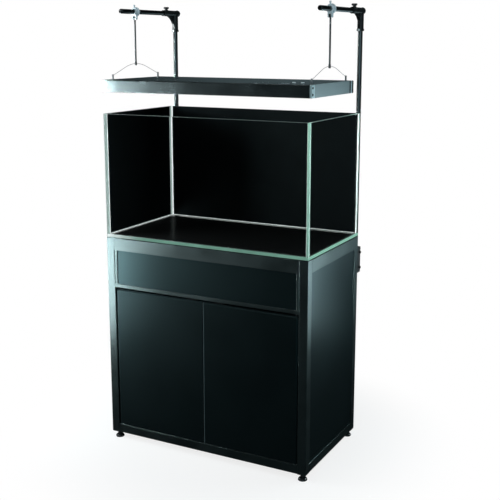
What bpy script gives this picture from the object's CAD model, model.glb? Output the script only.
"""Looks of a glass aquarium on a black cabinet stand, with a flat lamp hung over it from two masts."""

import logging
import math
from dataclasses import dataclass
from enum import Enum
from functools import cache
from typing import ClassVar, Sequence, Union

import bpy
import numpy as np
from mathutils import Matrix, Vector


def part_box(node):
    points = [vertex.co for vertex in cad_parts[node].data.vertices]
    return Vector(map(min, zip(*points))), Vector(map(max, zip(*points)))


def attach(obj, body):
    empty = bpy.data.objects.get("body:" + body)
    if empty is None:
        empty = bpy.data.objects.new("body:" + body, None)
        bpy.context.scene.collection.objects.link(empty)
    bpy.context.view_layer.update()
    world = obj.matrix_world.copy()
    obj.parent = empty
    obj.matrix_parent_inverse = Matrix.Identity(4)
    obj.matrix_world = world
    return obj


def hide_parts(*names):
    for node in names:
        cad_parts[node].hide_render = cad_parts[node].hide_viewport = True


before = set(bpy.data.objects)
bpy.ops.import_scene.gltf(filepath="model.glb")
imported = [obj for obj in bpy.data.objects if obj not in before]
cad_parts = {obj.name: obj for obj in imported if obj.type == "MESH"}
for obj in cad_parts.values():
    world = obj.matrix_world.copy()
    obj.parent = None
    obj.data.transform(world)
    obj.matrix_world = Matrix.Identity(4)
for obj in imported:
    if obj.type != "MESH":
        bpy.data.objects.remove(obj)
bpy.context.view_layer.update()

LOG = logging.getLogger("aquarium")

Colour = tuple[float, float, float]
Point = tuple[float, float, float]
Node = bpy.types.Node
Socket = bpy.types.NodeSocket
Tree = bpy.types.NodeTree
Feed = Union[Socket, float, Sequence[float]]
Given = dict[str, Feed]
Pair = tuple[float, float]

BLACK: Colour = (0.0, 0.0, 0.0)
WHITE: Colour = (1.0, 1.0, 1.0)


class Run(Enum):
    """Direction in which a length of metal was drawn or brushed."""

    ACROSS = (1, 0, 0)
    DEEP = (0, 1, 0)
    UPRIGHT = (0, 0, 1)


class PaneFacing(Enum):
    """Axis that a pane's two large faces look along."""

    SIDEWAYS = 0
    FRONT = 1
    UP = 2


class Wiring:
    """Adds shader nodes to one tree and joins them.

    Attributes:
        tree: The tree that the nodes go into.
        NUMBERS: Inputs of a Mix node that take its two numbers.
        COLOURS: Inputs of a Mix node that take its two colours.
        MIXED: Output of a Mix node that gives its colour.
    """

    NUMBERS: ClassVar[slice] = slice(2, 4)
    COLOURS: ClassVar[slice] = slice(6, 8)
    MIXED: ClassVar[int] = 2

    def __init__(self, tree: Tree) -> None:
        """Keeps the tree."""
        self.tree = tree

    def add(self, kind: str, **settings: object) -> Node:
        """Adds a node.

        Args:
            kind: The node's type name.
            **settings: Properties to set on it.

        Returns:
            The new node.
        """
        node = self.tree.nodes.new(kind)
        for key, value in settings.items():
            setattr(node, key, value)
        return node

    def found(self, kind: str) -> Node:
        """Gives the node of a kind that a new tree starts with."""
        return next(node for node in self.tree.nodes if node.type == kind)

    def spot(self, kind: str = "Object") -> Socket:
        """Gives a coordinate: a piece's Object place, a face's Normal or the world's Generated direction."""
        return self.add("ShaderNodeTexCoord").outputs[kind]

    def put(self, socket: Socket, value: Feed) -> None:
        """Joins an output to a socket, or sets the socket's plain value.

        Args:
            socket: The input to feed.
            value: An output socket, a number or a row of numbers.
        """
        if isinstance(value, Socket):
            self.tree.links.new(value, socket)
        else:
            socket.default_value = value

    def fill(self, sockets: Sequence[Socket], *values: Feed) -> None:
        """Feeds sockets in order, as far as there are values."""
        for socket, value in zip(sockets, values):
            self.put(socket, value)

    def feed(self, node: Node, **values: Feed) -> Node:
        """Feeds a node's inputs by name.

        Args:
            node: The node.
            **values: What its inputs get, by their names with underscores for spaces.

        Returns:
            The same node.
        """
        for name, value in values.items():
            self.put(node.inputs[name.replace("_", " ")], value)
        return node

    def math(self, operation: str, *values: Feed, clamp: bool = False) -> Socket:
        """Adds a Math node.

        Args:
            operation: The node's operation.
            *values: One to three numbers.
            clamp: Whether the result stays within 0 and 1.

        Returns:
            The node's output.
        """
        node = self.add("ShaderNodeMath", operation=operation, use_clamp=clamp)
        self.fill(node.inputs, *values)
        return node.outputs[0]

    def vector(self, operation: str, *values: Feed) -> Socket:
        """Adds a Vector Math node.

        Args:
            operation: The node's operation.
            *values: One or two vectors.

        Returns:
            The node's output, a number for a length or a dot product and a vector otherwise.
        """
        node = self.add("ShaderNodeVectorMath", operation=operation)
        self.fill(node.inputs, *values)
        return node.outputs["Value" if operation in ("LENGTH", "DOT_PRODUCT") else "Vector"]

    def tint(self, share: Feed, a: Feed, b: Feed) -> Socket:
        """Mixes two colours.

        Args:
            share: Share of the second colour.
            a: First colour, of three numbers or a socket.
            b: Second colour.

        Returns:
            The mixed colour.
        """
        node = self.add("ShaderNodeMix", data_type="RGBA")
        ends = (value if isinstance(value, Socket) else (*value, 1.0) for value in (a, b))
        self.fill((node.inputs[0], *node.inputs[self.COLOURS]), share, *ends)
        return node.outputs[self.MIXED]

    def between(self, share: Feed, a: Feed, b: Feed) -> Socket:
        """Mixes two numbers.

        Args:
            share: Share of the second number.
            a: First number.
            b: Second number.

        Returns:
            The mixed number.
        """
        node = self.add("ShaderNodeMix", data_type="FLOAT")
        self.fill((node.inputs[0], *node.inputs[self.NUMBERS]), share, a, b)
        return node.outputs[0]

    def step(self, value: Feed, low: float, high: float) -> Socket:
        """Smooth step of a value from 0 at low to 1 at high.

        Args:
            value: The value to place.
            low: Where the result is 0.
            high: Where the result is 1.

        Returns:
            The step, from 0 to 1.
        """
        node = self.add("ShaderNodeMapRange", interpolation_type="SMOOTHSTEP")
        self.fill(node.inputs, value, low, high, 0.0, 1.0)
        return node.outputs[0]

    def noise(self, vector: Feed, scale: Feed, detail: float, roughness: float) -> Socket:
        """Adds a noise.

        Args:
            vector: Where it is read.
            scale: Features to a metre.
            detail: Octaves.
            roughness: Strength of the finer octaves.

        Returns:
            Its value, about 0.5.
        """
        node = self.add("ShaderNodeTexNoise")
        self.feed(node, Vector=vector, Scale=scale, Detail=detail, Roughness=roughness)
        return node.outputs[0]

    def relief(self, height: Socket, strength: float, depth: float) -> Socket:
        """Turns a height into a normal.

        Args:
            height: Height, about 0 to 1.
            strength: Share of the relief that shows.
            depth: Depth in metres.

        Returns:
            The normal.
        """
        bump = self.add("ShaderNodeBump")
        return self.feed(bump, Strength=strength, Distance=depth, Height=height).outputs[0]

    def parts(self, vector: Feed) -> list[Socket]:
        """Splits a vector into its three numbers."""
        return list(self.feed(self.add("ShaderNodeSeparateXYZ"), Vector=vector).outputs)

    def effect(self, group: Tree, **values: Feed) -> Node:
        """Places a shared effect.

        Args:
            group: The effect's node group.
            **values: What its inputs get.

        Returns:
            The group's node.
        """
        return self.feed(self.add("ShaderNodeGroup", node_tree=group), **values)


class Effects:
    """Shader node groups that several finishes share, each built once."""

    @staticmethod
    def _begin(name: str, vectors: Sequence[str], numbers: Sequence[str],
               gives: Sequence[str]) -> tuple[Wiring, bpy.types.bpy_prop_collection, Node]:
        """Starts a group.

        Args:
            name: The group's name.
            vectors: Names of its inputs that are vectors.
            numbers: Names of its inputs that are numbers.
            gives: Names of its outputs, all numbers.

        Returns:
            The wiring, what comes in and the node for what goes out.
        """
        tree = bpy.data.node_groups.new(name, "ShaderNodeTree")
        for labels, way, kind in ((vectors, "INPUT", "Vector"), (numbers, "INPUT", "Float"),
                                  (gives, "OUTPUT", "Float")):
            for label in labels:
                tree.interface.new_socket(label, in_out=way, socket_type=f"NodeSocket{kind}")
        wires = Wiring(tree)
        return wires, wires.add("NodeGroupInput").outputs, wires.add("NodeGroupOutput")

    @classmethod
    @cache
    def drawn_lines(cls) -> Tree:
        """Fine lines left by drawing or brushing: two noises stretched along the run, one of them broader.

        Returns:
            A group that takes Place and Stretch and gives Line and Streak.
        """
        wires, take, give = cls._begin("drawn lines", ("Place", "Stretch"), (), ("Line", "Streak"))
        broader = (0.12, 0.12, 0.12)
        drawn = wires.vector("MULTIPLY", take["Place"], take["Stretch"])
        broad = wires.vector("MULTIPLY", drawn, broader)
        wires.feed(give, Line=wires.noise(drawn, scale=1.0, detail=4.0, roughness=0.6),
                   Streak=wires.noise(broad, scale=1.0, detail=2.0, roughness=0.5))
        return wires.tree

    @classmethod
    @cache
    def cloud(cls) -> Tree:
        """Slow cloudy change of tone and gloss, as handling and thin dust leave it.

        Returns:
            A group that takes Place and Size and gives Cloud and Speck.
        """
        wires, take, give = cls._begin("cloud", ("Place",), ("Size",), ("Cloud", "Speck"))
        specks_to_cloud = 160.0
        scale = wires.math("DIVIDE", 1.0, take["Size"])
        slow = wires.noise(take["Place"], scale, detail=3.0, roughness=0.55)
        finer = wires.math("MULTIPLY", scale, specks_to_cloud)
        fine = wires.noise(take["Place"], finer, detail=1.0, roughness=0.4)
        wires.feed(give, Cloud=wires.step(slow, low=0.3, high=0.7),
                   Speck=wires.step(fine, low=0.68, high=0.78))
        return wires.tree

    @classmethod
    @cache
    def grain(cls) -> Tree:
        """Rounded pebbles of a sprayed or moulded skin, from the smooth cells of a Voronoi pattern.

        Returns:
            A group that takes Place and Size and gives Pebble.
        """
        wires, take, give = cls._begin("grain", ("Place",), ("Size",), ("Pebble",))
        cells = wires.add("ShaderNodeTexVoronoi", feature="SMOOTH_F1")
        scale = wires.math("DIVIDE", 1.0, take["Size"])
        wires.feed(cells, Vector=take["Place"], Scale=scale, Smoothness=0.6)
        wires.feed(give, Pebble=wires.math("SUBTRACT", 1.0, cells.outputs["Distance"]))
        return wires.tree

    @classmethod
    @cache
    def edge(cls) -> Tree:
        """Nearness to the edges of a box: the middle one of the three distances to its faces is 0 on an edge.

        Returns:
            A group that takes Place, Low, High and Width and gives Edge, which is 1 on an edge.
        """
        wires, take, give = cls._begin("edge", ("Place", "Low", "High"), ("Width",), ("Edge",))
        corners = (wires.parts(take[name]) for name in ("Place", "Low", "High"))
        gaps = ((wires.math("SUBTRACT", here, low), wires.math("SUBTRACT", high, here))
                for here, low, high in zip(*corners))
        a, b, c = (wires.math("MINIMUM", *pair) for pair in gaps)
        inner = wires.math("MINIMUM", wires.math("MAXIMUM", a, b), c)
        middle = wires.math("MAXIMUM", wires.math("MINIMUM", a, b), inner)
        share = wires.math("DIVIDE", middle, take["Width"])
        wires.feed(give, Edge=wires.math("SUBTRACT", 1.0, share, clamp=True))
        return wires.tree


@dataclass(frozen=True)
class Finish:
    """What every finish has: a name, a colour and a gloss.

    Attributes:
        name: Name of the material.
        colour: Base colour, linear.
        roughness: Mean roughness.
        specular: Level of the plain reflection.
        cast: Colour of the plain reflection.
        shades: Factors of the colour where a pattern is lowest and highest.
        sheen: How far the roughness goes below and above its mean there.
        clouds: Size of the slow clouds in metres.
        depth: Depth of the relief in metres.
    """

    name: str
    colour: Colour
    roughness: float
    specular: float = 0.5
    cast: Colour = WHITE
    shades: ClassVar[Pair] = (1.0, 1.0)
    sheen: ClassVar[Pair] = (0.0, 0.0)
    clouds: ClassVar[float] = 0.1
    depth: ClassVar[float] = 0.0003

    def toned(self, factor: float, lift: float = 0.0) -> Colour:
        """The finish's colour times a factor, and lifted towards white."""
        return tuple(factor * c + lift for c in self.colour)

    def tone(self, wires: Wiring, share: Socket) -> Socket:
        """Colour that goes from the darker to the lighter shade with a share from 0 to 1."""
        dark, light = self.shades
        return wires.tint(share, self.toned(dark), self.toned(light))

    def gloss(self, wires: Wiring, share: Socket) -> Socket:
        """Roughness that swings about its mean with a share from 0 to 1."""
        below, above = self.sheen
        return wires.between(share, self.roughness - below, self.roughness + above)

    def sockets(self, wires: Wiring, place: Socket, cloud: Socket, speck: Socket) -> Given:
        """Wires what is particular to the finish; each kind has its own.

        Args:
            wires: The material's wiring.
            place: The place on the piece.
            cloud: Slow clouds, 0 to 1.
            speck: Specks of dust, 0 to 1.

        Returns:
            What the shader's sockets get, by their names with underscores for spaces.
        """
        raise NotImplementedError

    @cache
    def material(self) -> bpy.types.Material:
        """Gives the finish's one material, built at its first use."""
        material = bpy.data.materials.new(self.name)
        material.use_nodes = True
        material.diffuse_color = (*self.colour, 1.0)
        wires = Wiring(material.node_tree)
        place = wires.spot()
        haze = wires.effect(Effects.cloud(), Place=place, Size=self.clouds).outputs
        given = self.sockets(wires, place, haze["Cloud"], haze["Speck"])
        wires.feed(wires.found("BSDF_PRINCIPLED"), Specular_IOR_Level=self.specular,
                   Specular_Tint=(*self.cast, 1.0), **given)
        return material

    def dress(self, *nodes: str) -> None:
        """Gives the material to CAD nodes.

        Args:
            *nodes: Names of the nodes.
        """
        material = self.material()
        for node in nodes:
            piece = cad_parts[node]
            if not piece.material_slots:
                piece.data.materials.append(material)
            for slot in piece.material_slots:
                slot.material = material
            LOG.info("%s: %s", node, self.name)


@dataclass(frozen=True)
class DrawnMetal(Finish):
    """Metal with drawing lines along its run, bare, anodised or polished.

    Attributes:
        run: Direction of the lines.
        metallic: Share of metal.
        relief: Strength of the lines' relief.
    """

    run: Run = Run.UPRIGHT
    metallic: float = 1.0
    relief: float = 0.05
    shades = (0.88, 1.12)
    sheen = (0.03, 0.05)
    clouds = 0.16
    depth = 0.0002

    def sockets(self, wires: Wiring, place: Socket, cloud: Socket, speck: Socket) -> Given:
        """Lines change tone, gloss and relief, and slow clouds change the gloss."""
        along, across, streaks, line_gloss = 9.0, 1300.0, 0.35, 0.08
        stretch = tuple(along if runs else across for runs in self.run.value)
        lines = wires.effect(Effects.drawn_lines(), Place=place, Stretch=stretch).outputs
        share = wires.between(streaks, lines["Line"], lines["Streak"])
        swing = wires.math("MULTIPLY_ADD", lines["Line"], line_gloss, -0.5 * line_gloss)
        return dict(Base_Color=self.tone(wires, share), Metallic=self.metallic,
                    Roughness=wires.math("ADD", self.gloss(wires, cloud), swing),
                    Normal=wires.relief(lines["Line"], self.relief, self.depth))


@dataclass(frozen=True)
class CapMetal(DrawnMetal):
    """Metal of an end cap: polished lands at its two ends, each set off by a dark groove.

    Attributes:
        front: Where the front land ends.
        rear: Where the rear land starts.
        end: Where the rear land ends.
    """

    front: float = 0.0
    rear: float = 0.0
    end: float = 0.0

    def sockets(self, wires: Wiring, place: Socket, cloud: Socket, speck: Socket) -> Given:
        """As drawn metal, with the lands paler and the grooves dark by the place from front to back."""
        soft, hard, polish, dirt = 0.001, 0.6, 1.45, 0.05
        given = super().sockets(wires, place, cloud, speck)
        deep = wires.parts(place)[1]
        land = wires.math("MAXIMUM", wires.step(deep, self.front, self.front - soft),
                          wires.step(deep, self.rear, self.rear + soft))
        tone = wires.tint(land, given["Base_Color"], self.toned(polish))
        for at, half_width in ((self.front, 0.003), (self.rear, 0.006), (self.end, 0.009)):
            off = wires.math("ABSOLUTE", wires.math("SUBTRACT", deep, at))
            tone = wires.tint(wires.step(off, half_width, hard * half_width), tone, self.toned(dirt))
        return given | {"Base_Color": tone}


@dataclass(frozen=True)
class SprayedCoat(Finish):
    """Stoved paint, powder coat or moulded skin with a fine pebble.

    Attributes:
        pebble: Size of the pebbles in metres.
        relief: Strength of the pebbles' relief.
        coat: Weight of a clear coat.
    """

    pebble: float = 0.0012
    relief: float = 0.15
    coat: float = 0.0
    shades = (0.8, 1.3)
    sheen = (0.04, 0.06)
    clouds = 0.06

    def sockets(self, wires: Wiring, place: Socket, cloud: Socket, speck: Socket) -> Given:
        """Pebbles give the relief, slow clouds the change of gloss, and specks of dust a little tone."""
        dusty, shown = self.toned(factor=0.85, lift=0.02), 0.35
        skin = wires.effect(Effects.grain(), Place=place, Size=self.pebble)
        dust = wires.math("MULTIPLY", speck, shown)
        return dict(Base_Color=wires.tint(dust, self.tone(wires, cloud), dusty),
                    Roughness=self.gloss(wires, cloud), Coat_Weight=self.coat,
                    Normal=wires.relief(skin.outputs["Pebble"], self.relief, self.depth))


@dataclass(frozen=True)
class SatinPanel(Finish):
    """Laminated panel: a faint cast, fine upright pores and paler rubbed edges.

    Attributes:
        low: Lowest corner of the panel.
        high: Highest corner.
        lip: Share by which the rounded left edge is paler still.
    """

    low: Point = (0.0, 0.0, 0.0)
    high: Point = (1.0, 1.0, 1.0)
    lip: float = 0.0
    shades = (0.7, 1.4)
    sheen = (0.01, 0.012)
    clouds = 0.22
    depth = 0.0006

    def sockets(self, wires: Wiring, place: Socket, cloud: Socket, speck: Socket) -> Given:
        """Clouds and pores change tone and gloss, edges are paler, and specks of dust lie on the face."""
        pores, pore_tone, pore_gloss, relief = (420.0, 420.0, 6.0), 0.6, 0.03, 0.06
        dusty, worn = self.toned(factor=1.3, lift=0.001), self.toned(factor=2.2, lift=0.012)
        dust, rub, lip_tone = 0.3, 0.5, (0.05, 0.065, 0.068)
        line = wires.effect(Effects.drawn_lines(), Place=place, Stretch=pores).outputs["Line"]
        rim = wires.effect(Effects.edge(), Place=place, Low=self.low, High=self.high, Width=0.002)
        left = wires.step(wires.parts(place)[0], low=self.low[0] + 0.004, high=self.low[0] + 0.002)
        tone = self.tone(wires, wires.between(pore_tone, cloud, line))
        for mask, share, colour in ((speck, dust, dusty), (rim.outputs["Edge"], rub, worn),
                                    (left, self.lip, lip_tone)):
            tone = wires.tint(wires.math("MULTIPLY", mask, share), tone, colour)
        mean = wires.math("SUBTRACT", self.gloss(wires, cloud), 0.5 * pore_gloss)
        return dict(Base_Color=tone, Roughness=wires.math("MULTIPLY_ADD", line, pore_gloss, mean),
                    Normal=wires.relief(cloud, relief, self.depth))


@dataclass(frozen=True)
class PaneGlass(Finish):
    """Clear float glass whose ground edges gather light.

    Attributes:
        facing: Axis of the two large faces.
        index: How strongly the pane bends and mirrors light; low where a film lies on it.
        mint: Colour of the ground edges.
        pale: Their colour at the tank's left end.
        lit: Light that the edges gather at the tank's left end.
        glow: Light that they gather further right.
        ends: Share of that light on the upright and lower edges.
        right: Share of it on edges that face right.
        foot: Share of it at the tank's foot.
        rim: Share of it on the upper rim.
        away: Share of tone and light that edges facing left or back keep.
        turn: Where those edges begin, from right to left and from front to back.
        fade: Where the left end's pale tone is over.
    """

    roughness: float = 0.0
    facing: PaneFacing = PaneFacing.FRONT
    index: float = 1.5
    mint: Colour = (0.33, 0.5, 0.435)
    pale: Colour = (0.85, 0.92, 0.92)
    lit: Colour = (0.4, 0.47, 0.47)
    glow: Colour = (0.06, 0.125, 0.1)
    ends: float = 1.0
    right: float = 1.0
    foot: float = 1.0
    rim: float = 1.0
    away: float = 1.0
    turn: Pair = (-1.0, 1.0)
    fade: float = 0.0
    clouds = 0.05

    def sockets(self, wires: Wiring, place: Socket, cloud: Socket, speck: Socket) -> Given:
        """The face's own normal tells an edge from a large face; edges are mint, rough and gather light."""
        slanted, square, soft, ground_roughness = 0.6, 0.9, 0.001, 0.3
        left_end, bottom, top = -0.45, 0.87, 1.37
        normal = wires.parts(wires.spot("Normal"))
        x, y, z = wires.parts(place)
        ground = wires.step(wires.math("ABSOLUTE", normal[self.facing.value]), square, slanted)
        rightward = wires.step(x, left_end, self.fade)
        turned = wires.math("MAXIMUM", wires.step(x, self.turn[0], self.turn[0] - soft),
                            wires.step(y, self.turn[1], self.turn[1] + soft))
        kept = wires.between(turned, 1.0, self.away)
        tone = wires.tint(kept, BLACK, wires.tint(rightward, self.pale, self.mint))
        share = wires.between(wires.step(normal[0], slanted, square), self.ends, self.right)
        share = wires.math("MULTIPLY", share, wires.between(wires.step(z, bottom, top), self.foot, 1.0))
        share = wires.between(wires.step(normal[2], slanted, square), share, self.rim)
        share = wires.math("MULTIPLY", share, kept)
        streak = wires.between(cloud, a=0.85, b=1.1)
        strength = wires.math("MULTIPLY", wires.math("MULTIPLY", ground, streak), share)
        gathered = wires.tint(rightward, self.lit, self.glow)
        return dict(Base_Color=wires.tint(ground, self.colour, tone), IOR=self.index,
                    Roughness=wires.between(ground, self.roughness, ground_roughness),
                    Transmission_Weight=1.0, Emission_Strength=1.0,
                    Emission_Color=wires.tint(strength, BLACK, gathered))

    def dress(self, *nodes: str) -> None:
        """Gives the material to panes, which let lamp light through.

        Args:
            *nodes: Names of the panes.
        """
        super().dress(*nodes)
        for node in nodes:
            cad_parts[node].visible_shadow = False


@dataclass(frozen=True)
class PlainSkin(Finish):
    """Matt film, foam, opal sheet or sealant with a fine tooth.

    Attributes:
        tooth: Size of the tooth in metres.
        relief: Strength of its relief.
        inner: Weight of light scattered under the skin.
        glow: Strength of the light that it gathers from the glass.
    """

    tooth: float = 0.002
    relief: float = 0.1
    inner: float = 0.0
    glow: float = 0.0
    shades = (0.82, 1.15)
    sheen = (0.05, 0.05)

    def sockets(self, wires: Wiring, place: Socket, cloud: Socket, speck: Socket) -> Given:
        """Noise gives tone and relief at the tooth's size."""
        tooth = wires.noise(place, 1.0 / self.tooth, detail=3.0, roughness=0.6)
        tone = self.tone(wires, wires.between(0.5, tooth, cloud))
        return dict(Base_Color=tone, Roughness=self.gloss(wires, tooth),
                    Subsurface_Weight=self.inner, Subsurface_Radius=(0.004, 0.004, 0.004),
                    Emission_Color=(*self.colour, 1.0), Emission_Strength=self.glow,
                    Normal=wires.relief(tooth, self.relief, self.depth))


def linked(name: str, data: bpy.types.ID) -> bpy.types.Object:
    """Makes an object of a mesh, light or camera and puts it in the scene."""
    made = bpy.data.objects.new(name, data)
    bpy.context.scene.collection.objects.link(made)
    return made


def pointed(name: str, data: bpy.types.ID, place: Point, ahead: Vector) -> bpy.types.Object:
    """Puts a light or camera at a place in the scene, looking ahead along a direction."""
    holder = linked(name, data)
    holder.location = place
    holder.rotation_euler = ahead.to_track_quat("-Z", "Y").to_euler()
    return holder


def new_piece(name: str, points: np.ndarray, faces: list[list[int]], body: str, finish: Finish) -> bpy.types.Object:
    """Makes a smooth-shaded piece from its points and faces.

    Args:
        name: Name of the piece.
        points: Places, one row each, in metres.
        faces: Point numbers of each face, counter-clockwise from outside.
        body: Body that it rides on.
        finish: Its finish.

    Returns:
        The new object.
    """
    mesh = bpy.data.meshes.new(name)
    mesh.from_pydata(points.tolist(), [], faces)
    mesh.polygons.foreach_set("use_smooth", [len(face) == 4 for face in faces])
    mesh.update()
    mesh.materials.append(finish.material())
    piece = linked(name, mesh)
    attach(piece, body)
    LOG.info("%s: made, rides on %s", name, body)
    return piece


def wall_faces(rows: int, columns: int) -> np.ndarray:
    """Faces of a grid of points whose columns join up.

    Args:
        rows: Rows of points.
        columns: Points in a row.

    Returns:
        Four point numbers to a face, along its row and back along the next one.
    """
    row, column = (a.ravel() for a in np.meshgrid(np.arange(rows - 1), np.arange(columns), indexing="ij"))
    here, ahead = row * columns + column, row * columns + (column + 1) % columns
    return np.stack((here, ahead, ahead + columns, here + columns), axis=1)


def tube_faces(rows: int, columns: int, first: int = 0) -> list[list[int]]:
    """Faces of a closed tube: a grid whose columns join up, with a cap on its first and last row.

    Args:
        rows: Rows of points along the tube.
        columns: Points around it.
        first: Number of its first point.

    Returns:
        The faces, which point outwards where the points turn counter-clockwise as seen from the last row.
    """
    around = np.arange(columns)
    caps = (around[::-1], (rows - 1) * columns + around)
    return [(first + face).tolist() for face in (*wall_faces(rows, columns), *caps)]


@dataclass(frozen=True)
class StandFrame:
    """Posts, rails and feet of the stand.

    Attributes:
        tone: Colour of the anodised metal.
        gloss: Its roughness.
    """

    tone: Colour = (0.14, 0.18, 0.182)
    gloss: float = 0.31

    def dress(self) -> None:
        """Gives the frame its anodised metal, and the feet their moulded skin."""
        corners = [f"{end}_{side}" for end in ("front", "rear") for side in ("left", "right")]
        rails = [f"{level}_rail_{end}" for level in ("top", "bottom") for end in ("front", "rear")]
        for run, nodes in ((Run.UPRIGHT, [f"post_{corner}" for corner in corners] + ["fascia_stiles"]),
                           (Run.ACROSS, rails + ["mid_rail"]),
                           (Run.DEEP, ["top_rails_side", "bottom_rails_side"])):
            DrawnMetal(f"frame {run.name.lower()}", self.tone, self.gloss, run=run).dress(*nodes)
        SprayedCoat("foot plastic", (0.012, 0.012, 0.013), 0.24, pebble=0.002, relief=0.06).dress(
            *(f"foot_{corner}" for corner in corners))
        SprayedCoat("bush nylon", (0.02, 0.02, 0.022), 0.5).dress("foot_bushes")


@dataclass(frozen=True)
class Cabinet:
    """Panels, boards and doors.

    Attributes:
        cast: Colour of the panels' reflection.
        plate_width: Width of a strike plate on a door's inner face.
        plate_height: Its height.
        plate_thick: Its thickness.
        plate_power: Squareness of its outline, where 2 is an ellipse.
        seal_gap: Clearance of the soft seal on the left door from the right door.
        seal_inset: How far the seal stays from the doors' faces and ends.
    """

    cast: Colour = (0.5, 0.93, 1.0)
    plate_width: float = 0.036
    plate_height: float = 0.014
    plate_thick: float = 0.0008
    plate_power: float = 5.0
    seal_gap: float = 0.0006
    seal_inset: float = 0.003

    def panel(self, node: str, colour: Colour, roughness: float, specular: float, lip: float = 0.0) -> None:
        """Dresses one box-shaped panel with a finish that knows its edges.

        Args:
            node: Name of the panel.
            colour: Its colour.
            roughness: Its roughness.
            specular: Level of its reflection.
            lip: Share by which its left edge is paler.
        """
        low, high = (tuple(corner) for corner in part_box(node))
        SatinPanel(f"{node} laminate", colour, roughness, specular, self.cast, low, high, lip).dress(node)

    def strike_plate(self, side: str) -> None:
        """Steel plate that a push catch holds, on a door's inner face.

        The outline is a superellipse, |x/a|^p + |z/b|^p = 1. Rings of it, each with its own scale and
        distance from the door, make the rim, the rolled edge, the flat face and a dished screw hole.

        Args:
            side: Which door.
        """
        door_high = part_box(f"door_{side}")[1]
        catch_low, catch_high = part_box("door_catches")
        half_width, half_height = 0.5 * self.plate_width, 0.5 * self.plate_height
        middle_x = catch_low[0] + half_width if side == "left" else catch_high[0] - half_width
        middle_z = door_high[2] - self.plate_height
        scale = np.array((1.0, 1.0, 0.985, 0.95, 0.5, 0.16, 0.12, 0.06))
        height = np.array((0.0, 0.6, 0.9, 1.0, 1.0, 1.0, 0.55, 0.4)) * self.plate_thick
        angle = np.linspace(0.0, 2 * np.pi, num=48, endpoint=False)
        across, up = (np.sign(wave) * np.abs(wave) ** (2 / self.plate_power)
                      for wave in (np.cos(angle), np.sin(angle)))
        x = middle_x - half_width * scale[:, None] * across
        z = middle_z + half_height * scale[:, None] * up
        y = np.broadcast_to(door_high[1] + height[:, None], x.shape)
        points = np.stack((x, y, z), axis=-1).reshape(-1, 3)
        finish = DrawnMetal("strike steel", (0.55, 0.56, 0.57), 0.3, run=Run.ACROSS)
        faces = tube_faces(len(scale), len(angle))
        new_piece(f"strike_plate_{side}", points, faces, f"door_{side}", finish)

    def meeting_seal(self) -> None:
        """Soft black seal on the left door's edge, which closes the slit between the doors to light.

        The profile is a half ellipse, (w sin t, -h cos t), on the door's edge, carried straight up the door.
        """
        low, high = (np.array(corner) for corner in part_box("door_left"))
        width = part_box("door_right")[0][0] - high[0] - self.seal_gap
        middle, half = 0.5 * (low[1] + high[1]), 0.5 * (high[1] - low[1]) - self.seal_inset
        rows, columns = 40, 15
        t = np.linspace(0.0, np.pi, columns)
        z = np.linspace(low[2] + self.seal_inset, high[2] - self.seal_inset, rows)[:, None]
        grid = np.broadcast_arrays(high[0] + width * np.sin(t), middle - half * np.cos(t), z)
        points = np.stack(grid, axis=-1).reshape(-1, 3)
        finish = PlainSkin("seal rubber", (0.006, 0.006, 0.0065), 0.6, specular=0.2, tooth=0.001)
        new_piece("meeting_seal", points, tube_faces(rows, columns), "door_left", finish)

    def dress(self) -> None:
        """Gives each panel its laminate, and the doors their strike plates and seal."""
        for node in ("fascia_panel", "side_panel_left", "side_panel_right", "back_panel"):
            self.panel(node, (0.0018, 0.0026, 0.0028), roughness=0.3, specular=0.9)
        for node, lip in (("door_left", 0.0), ("door_right", 1.0)):
            self.panel(node, (0.0016, 0.0024, 0.0026), roughness=0.35, specular=0.46, lip=lip)
        for node in ("floor_board", "deck_board"):
            self.panel(node, (0.02, 0.021, 0.022), roughness=0.55, specular=0.3)
        SprayedCoat("catch plastic", (0.03, 0.03, 0.032), 0.4).dress("door_catches")
        DrawnMetal("pin black steel", (0.03, 0.032, 0.034), 0.4).dress("hinge_pins")
        for side in ("left", "right"):
            self.strike_plate(side)
        self.meeting_seal()


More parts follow.
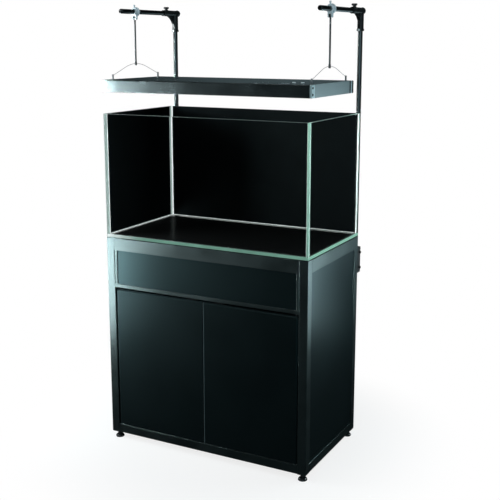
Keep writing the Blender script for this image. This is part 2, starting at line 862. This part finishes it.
@dataclass(frozen=True)
class Tank:
    """Glass, films and sealant.

    Attributes:
        arris: Width of the chamfer ground on the panes' edges.
        rear_leg: Leg of the sealant in the upright corners at the back.
        front_leg: Leg of the sealant in the upright corner at the front left.
        floor_leg: Leg of the sealant along the base at the back and on the left.
        fine_leg: Leg of the other seams, at the front and on the right.
        ripple: Share by which a leg swells and thins along its seam.
    """

    arris: float = 0.0008
    rear_leg: float = 0.0038
    front_leg: float = 0.0012
    floor_leg: float = 0.0011
    fine_leg: float = 0.0003
    ripple: float = 0.06

    def seam(self, start: np.ndarray, end: np.ndarray, u: np.ndarray, v: np.ndarray,
             leg: float) -> np.ndarray:
        """Points of one tooled seam of sealant.

        The profile is the corner and a hollow quarter circle between two legs, (a - a sin t, a - a cos t),
        carried along the straight line of the corner. The leg a swells and thins in waves along the seam.

        Args:
            start: Where the seam starts, in the corner.
            end: Where it ends.
            u: Direction of its first leg.
            v: Direction of its second leg.
            leg: Mean length of a leg.

        Returns:
            Places in rows along the seam and columns round the profile.
        """
        stations, arc = 48, 7
        s = np.linspace(0.0, 1.0, stations)[:, None, None]
        t = np.linspace(0.0, 0.5 * np.pi, arc)
        run = np.linalg.norm(end - start)
        waves = ((1.0, 37.0, 0.0), (0.5, 91.0, 1.3))
        swell = sum(size * np.sin(rate * s * run + phase) for size, rate, phase in waves)
        leg_here = leg * (1.0 + self.ripple * swell)
        side_u, side_v = (np.concatenate(((0.0,), 1.0 - wave))[None, :, None]
                          for wave in (np.sin(t), np.cos(t)))
        return start + s * (end - start) + leg_here * (side_u * u + side_v * v)

    def sealant(self) -> None:
        """Eight tooled seams of sealant in the inside corners, which stand for the plain beads."""
        low, high = (np.array(corner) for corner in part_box("silicone_bead"))
        x, y, z = np.eye(3)
        corner = [np.array((cx, cy, 0.0)) for cx in (low[0], high[0]) for cy in (low[1], high[1])]
        inward = ((x, y), (x, -y), (-x, y), (-x, -y))
        legs = (self.front_leg, self.rear_leg, self.fine_leg, self.rear_leg)
        seams = [(foot + low * z, foot + high * z, *sides, leg)
                 for foot, sides, leg in zip(corner, inward, legs)]
        for a, b, side, leg in ((0, 1, x, self.floor_leg), (2, 3, -x, self.fine_leg),
                                (0, 2, y, self.fine_leg), (1, 3, -y, self.floor_leg)):
            seams.append((corner[a] + low * z, corner[b] + low * z, side, z, leg))
        grids, faces = [], []
        for start, end, u, v, leg in seams:
            if np.dot(np.cross(u, v), end - start) < 0:
                u, v = v, u
            grid = self.seam(start, end, u, v, leg)
            faces += tube_faces(*grid.shape[:2], first=sum(len(g) for g in grids))
            grids.append(grid.reshape(-1, 3))
        finish = PlainSkin("sealant bead", (0.9, 0.93, 0.93), 0.3, tooth=0.006, inner=0.2, glow=0.7)
        piece = new_piece("sealant_seams", np.concatenate(grids), faces, "stand", finish)
        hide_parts("silicone_bead")

    def dress(self) -> None:
        """Gives the panes their glass and ground edges, and the rest its skin."""
        clear, dark, border, weld = (0.975, 0.992, 0.985), (0.01, 0.012, 0.012), 0.003, 1e-5
        low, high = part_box("base_glass")
        panes = {
            "base": dict(roughness=0.25, facing=PaneFacing.UP, index=1.03, lit=(1.1, 1.28, 1.26),
                         glow=(0.24, 0.5, 0.39), ends=0.55, away=0.05, fade=-0.25,
                         turn=(low[0] + border, high[1] - border)),
            "front": dict(mint=(0.24, 0.36, 0.315), pale=(0.6, 0.66, 0.65), lit=(0.03, 0.035, 0.035),
                          glow=(0.036, 0.072, 0.06), rim=0.5),
            "back": dict(index=1.03, mint=dark, pale=dark, ends=0.0, right=0.0, rim=0.12),
            "left": dict(facing=PaneFacing.SIDEWAYS, index=1.03, pale=(0.28, 0.33, 0.32),
                         lit=(0.15, 0.18, 0.175), rim=0.2),
            "right": dict(facing=PaneFacing.SIDEWAYS, glow=(0.1, 0.155, 0.135), foot=0.5, rim=0.25)}
        for side, looks in panes.items():
            PaneGlass(f"glass {side}", clear, **looks).dress(f"{side}_glass")
            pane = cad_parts[f"{side}_glass"]
            pane.modifiers.new("merged corners", "WELD").merge_threshold = weld
            chamfer = pane.modifiers.new("arris", "BEVEL")
            chamfer.width, chamfer.segments, chamfer.limit_method = self.arris, 1, "ANGLE"
        PlainSkin("background film", (0.013, 0.019, 0.021), 0.75, specular=0.08, tooth=0.004).dress(
            "background_films")
        PlainSkin("foam mat", (0.006, 0.006, 0.0065), 0.85, specular=0.1, tooth=0.0015, relief=0.5).dress(
            "levelling_mat")
        self.sealant()


@dataclass(frozen=True)
class Hanger:
    """Brackets, masts, elbows, arms and clamps.

    Attributes:
        black: Colour of the coated castings.
        deep: Colour of the glossy tubes.
    """

    black: Colour = (0.008, 0.0088, 0.0095)
    deep: Colour = (0.11, 0.123, 0.126)

    def dress(self) -> None:
        """Gives the hanger its glossy black tube, coated castings and bright clamps."""
        SprayedCoat("bracket coat", self.black, 0.42, pebble=0.0009).dress("mast_brackets")
        DrawnMetal("bolt black steel", (0.05, 0.05, 0.055), 0.35).dress("bracket_bolts", "lamp_screws")
        for kind, finish in (
                ("mast", DrawnMetal("mast tube", self.deep, 0.16, relief=0.02)),
                ("arm", DrawnMetal("arm tube", self.deep, 0.16, run=Run.DEEP, relief=0.02)),
                ("elbow", SprayedCoat("elbow coat", self.black, 0.26, pebble=0.0009, relief=0.08)),
                ("elbow_screw", DrawnMetal("screw steel", (0.82, 0.84, 0.86), 0.3, metallic=0.35)),
                ("knob", SprayedCoat("knob plastic", self.black, 0.34, pebble=0.001)),
                ("clamp", DrawnMetal("clamp nickel", (0.72, 0.79, 0.83), 0.3, run=Run.DEEP, metallic=0.35))):
            finish.dress(f"{kind}_left", f"{kind}_right")


@dataclass(frozen=True)
class Lamp:
    """Lamp, its sling and rods.

    Attributes:
        land: Depth of the polished land at each end of a cap.
        rear_edge: Depth of the dark rear edge.
    """

    land: float = 0.034
    rear_edge: float = 0.008

    def dress(self) -> None:
        """Gives the lamp its anodised shell, paler end caps and small metal."""
        low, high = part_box("lamp_end_caps")
        DrawnMetal("lamp shell", (0.27, 0.325, 0.335), 0.225, run=Run.ACROSS).dress("lamp_housing")
        CapMetal("lamp cap", (0.42, 0.52, 0.545), 0.48, run=Run.DEEP, front=low[1] + self.land,
                 rear=high[1] - self.land, end=high[1] - self.rear_edge).dress("lamp_end_caps")
        PlainSkin("opal sheet", (0.78, 0.8, 0.8), 0.4, specular=0.4, tooth=0.004, relief=0.05).dress(
            "lamp_diffuser")
        PlainSkin("light board", (0.7, 0.72, 0.7), 0.45, specular=0.4, tooth=0.003).dress("led_boards")
        SprayedCoat("button pearl", (0.72, 0.76, 0.78), 0.28, pebble=0.002, relief=0.03, coat=0.5).dress(
            "button_power", "button_mode")
        DrawnMetal("post satin metal", (0.2, 0.21, 0.22), 0.3, metallic=0.6).dress("hanger_posts")
        DrawnMetal("rod steel", (0.13, 0.135, 0.14), 0.35).dress("hanger_rods")
        DrawnMetal("sling wire", (0.3, 0.31, 0.32), 0.35, run=Run.DEEP, metallic=0.5).dress("sling_wires")
        SprayedCoat("gland nylon", (0.014, 0.014, 0.015), 0.45).dress("cable_gland")


@dataclass(frozen=True)
class SoftBox:
    """One soft studio light.

    Attributes:
        name: Its name.
        place: Where its middle is.
        aim: The point that it faces.
        width: Width of its face.
        height: Height of its face.
        radiance: Brightness of its face, where 1 is white.
        colour: Colour of its light.
    """

    name: str
    place: Point
    aim: Point
    width: float
    height: float
    radiance: float
    colour: Colour = WHITE

    def hang(self) -> None:
        """Adds the light, without the sharp image in clear panes that would hide what is behind them."""
        lamp = bpy.data.lights.new(self.name, "AREA")
        lamp.shape = "RECTANGLE"
        lamp.size, lamp.size_y = self.width, self.height
        lamp.energy = self.radiance * math.pi * self.width * self.height
        lamp.color = self.colour
        lamp.cycles.use_multiple_importance_sampling = False
        holder = pointed(self.name, lamp, self.place, Vector(self.aim) - Vector(self.place))
        holder.visible_camera = False
        holder.visible_transmission = False


@dataclass(frozen=True)
class Studio:
    """Floor, background, lights and camera.

    Attributes:
        ambient: Strength of the even light from all round.
        cool: Colour of the room in gloss.
        room: Brightness of the dim room in gloss.
        pane_room: Brightness of the room in clear glass.
        back_wall: Brightness of the wall behind the object in gloss.
        front_wall: Brightness of the wall in front of the object in gloss.
        back_floor: Brightness of the floor well behind the object in gloss.
        front_floor: Brightness of the floor at the front right in gloss.
        shadow: Share of the floor's own shading that the camera sees near the object.
        eye: Place of the camera.
        turn: Camera's turn to the left, in degrees.
        tilt: Camera's tilt down, in degrees.
        lens: Focal length in millimetres on a 36 mm frame.
        drop: Shift of the lens, which keeps upright edges near parallel.
    """

    ambient: float = 0.4
    cool: Colour = (0.66, 0.92, 1.0)
    room: float = 0.012
    pane_room: float = 0.004
    back_wall: float = 0.11
    front_wall: float = 0.9
    back_floor: float = 1.0
    front_floor: float = 0.35
    shadow: float = 0.2
    eye: Point = (1.7534, -3.2082, 1.6612)
    turn: float = 27.733
    tilt: float = 11.229
    lens: float = 65.37
    drop: float = -0.06

    def _light(self, wires: Wiring, shader: Node, gloss: Feed, rest: float) -> Socket:
        """Sets a shader's light by kind of ray: white to the camera and through glass, dimmer in gloss.

        Args:
            wires: Wiring of the material or world.
            shader: The shader with Color and Strength.
            gloss: Brightness in gloss.
            rest: Brightness for lighting.

        Returns:
            The share of rays from the camera or through glass.
        """
        path = wires.add("ShaderNodeLightPath").outputs
        seen = wires.math("MAXIMUM", path["Is Camera Ray"], path["Is Transmission Ray"])
        mirrored = wires.math("MINIMUM", path["Glossy Depth"], 1.0)
        straight = wires.math("MULTIPLY", seen, wires.math("SUBTRACT", 1.0, mirrored))
        glossy = wires.math("MAXIMUM", mirrored, path["Is Glossy Ray"])
        gloss = wires.between(path["Is Singular Ray"], gloss, self.pane_room)
        wires.feed(shader, Strength=wires.between(straight, wires.between(glossy, rest, gloss), 1.0),
                   Color=wires.tint(straight, self.cool, WHITE))
        return seen

    def background(self) -> None:
        """White to the camera and through glass, a dim room with two paler walls in gloss."""
        world = bpy.data.worlds.new("studio")
        world.use_nodes = True
        bpy.context.scene.world = world
        wires = Wiring(world.node_tree)
        outward = wires.spot("Generated")
        gloss = self.room
        for middle, low, high, bright in (((-0.2, 0.98, 0.0), 0.88, 0.97, self.back_wall),
                                          ((0.42, -0.9, 0.1), 0.82, 0.97, self.front_wall)):
            toward = wires.vector("DOT_PRODUCT", outward, middle)
            gloss = wires.between(wires.step(toward, low, high), gloss, bright)
        self._light(wires, wires.found("BACKGROUND"), gloss, self.ambient)

    def _ground(self) -> bpy.types.Material:
        """Floor paint: shaded near the object, white further out, with two bright patches in gloss."""
        material = bpy.data.materials.new("studio floor")
        material.use_nodes = True
        wires = Wiring(material.node_tree)
        wires.tree.nodes.clear()
        place = wires.spot()
        gloss = self.room
        for middle, stretch, bright in (((0.2, 4.8, 0.0), (0.45, 0.4, 0.0), self.back_floor),
                                        ((1.3, -3.0, 0.0), (0.67, 0.45, 0.0), self.front_floor)):
            off = wires.vector("MULTIPLY", wires.vector("SUBTRACT", place, middle), stretch)
            pool = wires.step(wires.vector("LENGTH", off), low=1.0, high=0.35)
            gloss = wires.between(pool, gloss, bright)
        white = wires.add("ShaderNodeEmission")
        seen = self._light(wires, white, gloss, 1.0)
        paint = wires.feed(wires.add("ShaderNodeBsdfDiffuse"), Color=(0.82, 0.82, 0.82, 1.0))
        fade = wires.step(wires.vector("LENGTH", place), low=0.45, high=1.0)
        share = wires.math("MULTIPLY", seen, wires.between(fade, 1.0 - self.shadow, 1.0))
        glossy = wires.add("ShaderNodeLightPath").outputs["Is Glossy Ray"]
        mix = wires.add("ShaderNodeMixShader")
        wires.fill(mix.inputs, wires.math("MAXIMUM", share, glossy), paint.outputs[0], white.outputs[0])
        wires.feed(wires.add("ShaderNodeOutputMaterial"), Surface=mix.outputs[0])
        return material

    def floor(self) -> None:
        """Pale round floor: a polar grid, (r cos a, r sin a, 0), with a round face in its middle."""
        rings, turns, hub, rim = 12, 64, 0.02, 14.0
        angle, reach = np.meshgrid(np.linspace(0.0, 2 * np.pi, turns, endpoint=False),
                                   np.linspace(hub, rim, rings))
        grid = (reach * np.cos(angle), reach * np.sin(angle), 0.0 * reach)
        points = np.stack(grid, axis=-1).reshape(-1, 3)
        faces = wall_faces(rings, turns)[:, ::-1].tolist() + [list(range(turns))]
        mesh = bpy.data.meshes.new("studio_floor")
        mesh.from_pydata(points.tolist(), [], faces)
        mesh.update()
        mesh.materials.append(self._ground())
        floor = linked("studio_floor", mesh)

    def lights(self) -> None:
        """A large light at the front left, one at the back right and one overhead."""
        for light in (
                SoftBox("left light", place=(-1.532, -0.904, 0.98), aim=(-1.489, 0.095, 0.98), width=1.17,
                        height=1.53, radiance=12.0, colour=(0.9, 0.985, 1.0)),
                SoftBox("right light", place=(1.56, 0.584, 0.8), aim=(1.42, -0.406, 0.8), width=1.228,
                        height=1.0, radiance=4.4, colour=(0.8, 0.96, 1.0)),
                SoftBox("top light", place=(0.2, -0.6, 3.4), aim=(0.0, 0.0, 0.8), width=2.0,
                        height=1.6, radiance=1.6)):
            light.hang()

    def camera(self) -> None:
        """Camera at the viewing angle, from its place, turn, tilt and lens."""
        turn, tilt = math.radians(self.turn), math.radians(self.tilt)
        ahead = Vector((-math.sin(turn) * math.cos(tilt), math.cos(turn) * math.cos(tilt), -math.sin(tilt)))
        eye = bpy.data.cameras.new("camera")
        eye.lens, eye.sensor_width, eye.shift_y = self.lens, 36.0, self.drop
        bpy.context.scene.camera = pointed("camera", eye, self.eye, ahead)

    def set_up(self) -> None:
        """Builds the studio."""
        bpy.context.scene.view_settings.view_transform = "Standard"
        self.background()
        self.floor()
        self.lights()
        self.camera()


def main() -> None:
    """Dresses the sub-assemblies in order and sets up the studio."""
    logging.basicConfig(level=logging.INFO, format="%(message)s")
    for part in (StandFrame(), Cabinet(), Tank(), Hanger(), Lamp()):
        part.dress()
    Studio().set_up()


if __name__ == "__main__":
    main()
